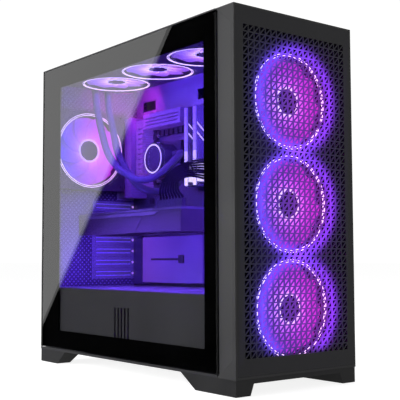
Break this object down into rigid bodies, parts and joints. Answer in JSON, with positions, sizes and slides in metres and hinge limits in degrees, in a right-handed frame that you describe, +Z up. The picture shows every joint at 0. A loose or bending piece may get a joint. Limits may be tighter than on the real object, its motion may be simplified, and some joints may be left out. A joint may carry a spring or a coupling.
{
  "type": "desktop computer tower",
  "caption": "Mid-tower desktop computer with a perforated front, a framed glass side, lit fans, a liquid cooler and a graphics card.",
  "frame": {"origin": "on the floor, under the middle of the case", "axes": "+Z up, -Y out of the perforated front, -X out of the glass side"},
  "size_m": [0.22, 0.513, 0.501],
  "materials": {
    "chassis_steel": "satin black powder coat",
    "shroud_paint": "satin dark grey paint",
    "tinted_glass": "polished, lightly smoked",
    "black_border": "gloss black",
    "front_plastic": "fine grain moulded",
    "front_paint": "fine satin black",
    "foot_plastic": "fine grain moulded",
    "pad_rubber": "matt",
    "filter_net": "fine nylon net in a plastic rim",
    "fan_plastic": "fine grain moulded",
    "lit_blades": "translucent, lit from the hub",
    "lit_ring": "glowing diffuser",
    "radiator_black": "matt black",
    "hose_sleeve": "braided sleeve",
    "pump_plastic": "satin",
    "board_black": "solder mask with fine tracks",
    "heatsink_grey": "anodised",
    "socket_plastic": "moulded",
    "bright_steel": "plated",
    "psu_paint": "textured black",
    "button_metal": "anodised dark"
  },
  "bodies": {
    "root": {"floor_pan": "chassis_steel", "rear_panel": "chassis_steel", "top_panel": "chassis_steel", "front_frame": "chassis_steel", "motherboard_tray": "chassis_steel", "psu_shroud": "shroud_paint", "front_foot": "foot_plastic", "rear_feet": "foot_plastic", "foot_pads": "pad_rubber", "front_fan_frame_1": "fan_plastic", "front_fan_frame_2": "fan_plastic", "front_fan_frame_3": "fan_plastic", "front_fan_lights": "lit_ring", "top_fan_frame_1": "fan_plastic", "top_fan_frame_2": "fan_plastic", "top_fan_frame_3": "fan_plastic", "top_fan_lights": "lit_ring", "rear_fan_frame": "fan_plastic", "rear_fan_light": "lit_ring", "radiator": "radiator_black", "coolant_tubes": "hose_sleeve", "pump_block": "pump_plastic", "pump_cap": "pump_plastic", "motherboard": "board_black", "board_heatsinks": "heatsink_grey", "io_cover": "socket_plastic", "ram_sticks": "heatsink_grey", "board_sockets": "socket_plastic", "io_ports": "bright_steel", "card_shroud": "heatsink_grey", "card_heatsink": "heatsink_grey", "card_backplate": "heatsink_grey", "card_bracket": "bright_steel", "slot_covers": "bright_steel", "thumbscrews": "bright_steel", "psu_case": "psu_paint", "psu_inlet": "socket_plastic", "power_cables": "socket_plastic", "front_ports": "bright_steel"},
    "front_rotor_1": {"front_fan_rotor_1": "lit_blades"},
    "front_rotor_2": {"front_fan_rotor_2": "lit_blades"},
    "front_rotor_3": {"front_fan_rotor_3": "lit_blades"},
    "top_rotor_1": {"top_fan_rotor_1": "lit_blades"},
    "top_rotor_2": {"top_fan_rotor_2": "lit_blades"},
    "top_rotor_3": {"top_fan_rotor_3": "lit_blades"},
    "rear_rotor": {"rear_fan_rotor": "lit_blades"},
    "card_rotor_1": {"card_rotor_1": "fan_plastic"},
    "card_rotor_2": {"card_rotor_2": "fan_plastic"},
    "card_rotor_3": {"card_rotor_3": "fan_plastic"},
    "psu_rotor": {"psu_rotor": "fan_plastic"},
    "front_panel": {"front_bezel": "front_plastic", "front_mesh": "front_paint"},
    "glass_side": {"glass_panel": "tinted_glass", "glass_frame": "black_border"},
    "steel_side": {"side_panel": "chassis_steel"},
    "top_filter": {"top_filter": "filter_net"},
    "psu_filter": {"psu_filter": "filter_net"},
    "power_button": {"power_button": "button_metal"},
    "reset_button": {"reset_button": "button_metal"},
    "psu_switch": {"psu_switch": "socket_plastic"}
  },
  "joints": [
    {"name": "front_rotor_1_spin", "type": "hinge", "parent": "root", "child": "front_rotor_1", "pos_m": [0, -0.2325, 0.10615], "axis": [0, 1, 0], "continuous": true},
    {"name": "front_rotor_2_spin", "type": "hinge", "parent": "root", "child": "front_rotor_2", "pos_m": [0, -0.2325, 0.24615], "axis": [0, 1, 0], "continuous": true},
    {"name": "front_rotor_3_spin", "type": "hinge", "parent": "root", "child": "front_rotor_3", "pos_m": [0, -0.2325, 0.38615], "axis": [0, 1, 0], "continuous": true},
    {"name": "top_rotor_1_spin", "type": "hinge", "parent": "root", "child": "top_rotor_1", "pos_m": [-0.042, 0.1265, 0.4715], "axis": [0, 0, 1], "continuous": true},
    {"name": "top_rotor_2_spin", "type": "hinge", "parent": "root", "child": "top_rotor_2", "pos_m": [-0.042, 0.0065, 0.4715], "axis": [0, 0, 1], "continuous": true},
    {"name": "top_rotor_3_spin", "type": "hinge", "parent": "root", "child": "top_rotor_3", "pos_m": [-0.042, -0.1135, 0.4715], "axis": [0, 0, 1], "continuous": true},
    {"name": "rear_rotor_spin", "type": "hinge", "parent": "root", "child": "rear_rotor", "pos_m": [-0.033, 0.237, 0.365], "axis": [0, 1, 0], "continuous": true},
    {"name": "card_rotor_1_spin", "type": "hinge", "parent": "root", "child": "card_rotor_1", "pos_m": [0.0109, 0.00333, 0.222], "axis": [0, 0, 1], "continuous": true},
    {"name": "card_rotor_2_spin", "type": "hinge", "parent": "root", "child": "card_rotor_2", "pos_m": [0.0109, 0.097, 0.222], "axis": [0, 0, 1], "continuous": true},
    {"name": "card_rotor_3_spin", "type": "hinge", "parent": "root", "child": "card_rotor_3", "pos_m": [0.0109, 0.19067, 0.222], "axis": [0, 0, 1], "continuous": true},
    {"name": "psu_rotor_spin", "type": "hinge", "parent": "root", "child": "psu_rotor", "pos_m": [0.005, 0.1615, 0.036], "axis": [0, 0, 1], "continuous": true},
    {"name": "front_panel_pull", "type": "slide", "parent": "root", "child": "front_panel", "axis": [0, -1, 0], "range_m": [0, 0.03]},
    {"name": "glass_pull", "type": "slide", "parent": "root", "child": "glass_side", "axis": [-1, 0, 0], "range_m": [0, 0.03]},
    {"name": "side_pull", "type": "slide", "parent": "root", "child": "steel_side", "axis": [1, 0, 0], "range_m": [0, 0.03]},
    {"name": "top_filter_lift", "type": "slide", "parent": "root", "child": "top_filter", "axis": [0, 0, 1], "range_m": [0, 0.03]},
    {"name": "psu_filter_slide", "type": "slide", "parent": "root", "child": "psu_filter", "axis": [0, 1, 0], "range_m": [0, 0.16]},
    {"name": "power_press", "type": "slide", "parent": "root", "child": "power_button", "axis": [0, 0, -1], "range_m": [0, 0.0015], "stiffness_N_per_m": 800},
    {"name": "reset_press", "type": "slide", "parent": "root", "child": "reset_button", "axis": [0, 0, -1], "range_m": [0, 0.0015], "stiffness_N_per_m": 500},
    {"name": "psu_switch_rock", "type": "hinge", "parent": "root", "child": "psu_switch", "pos_m": [0.048, 0.2415, 0.0508], "axis": [1, 0, 0], "range_deg": [-16, 0]}
  ]
}
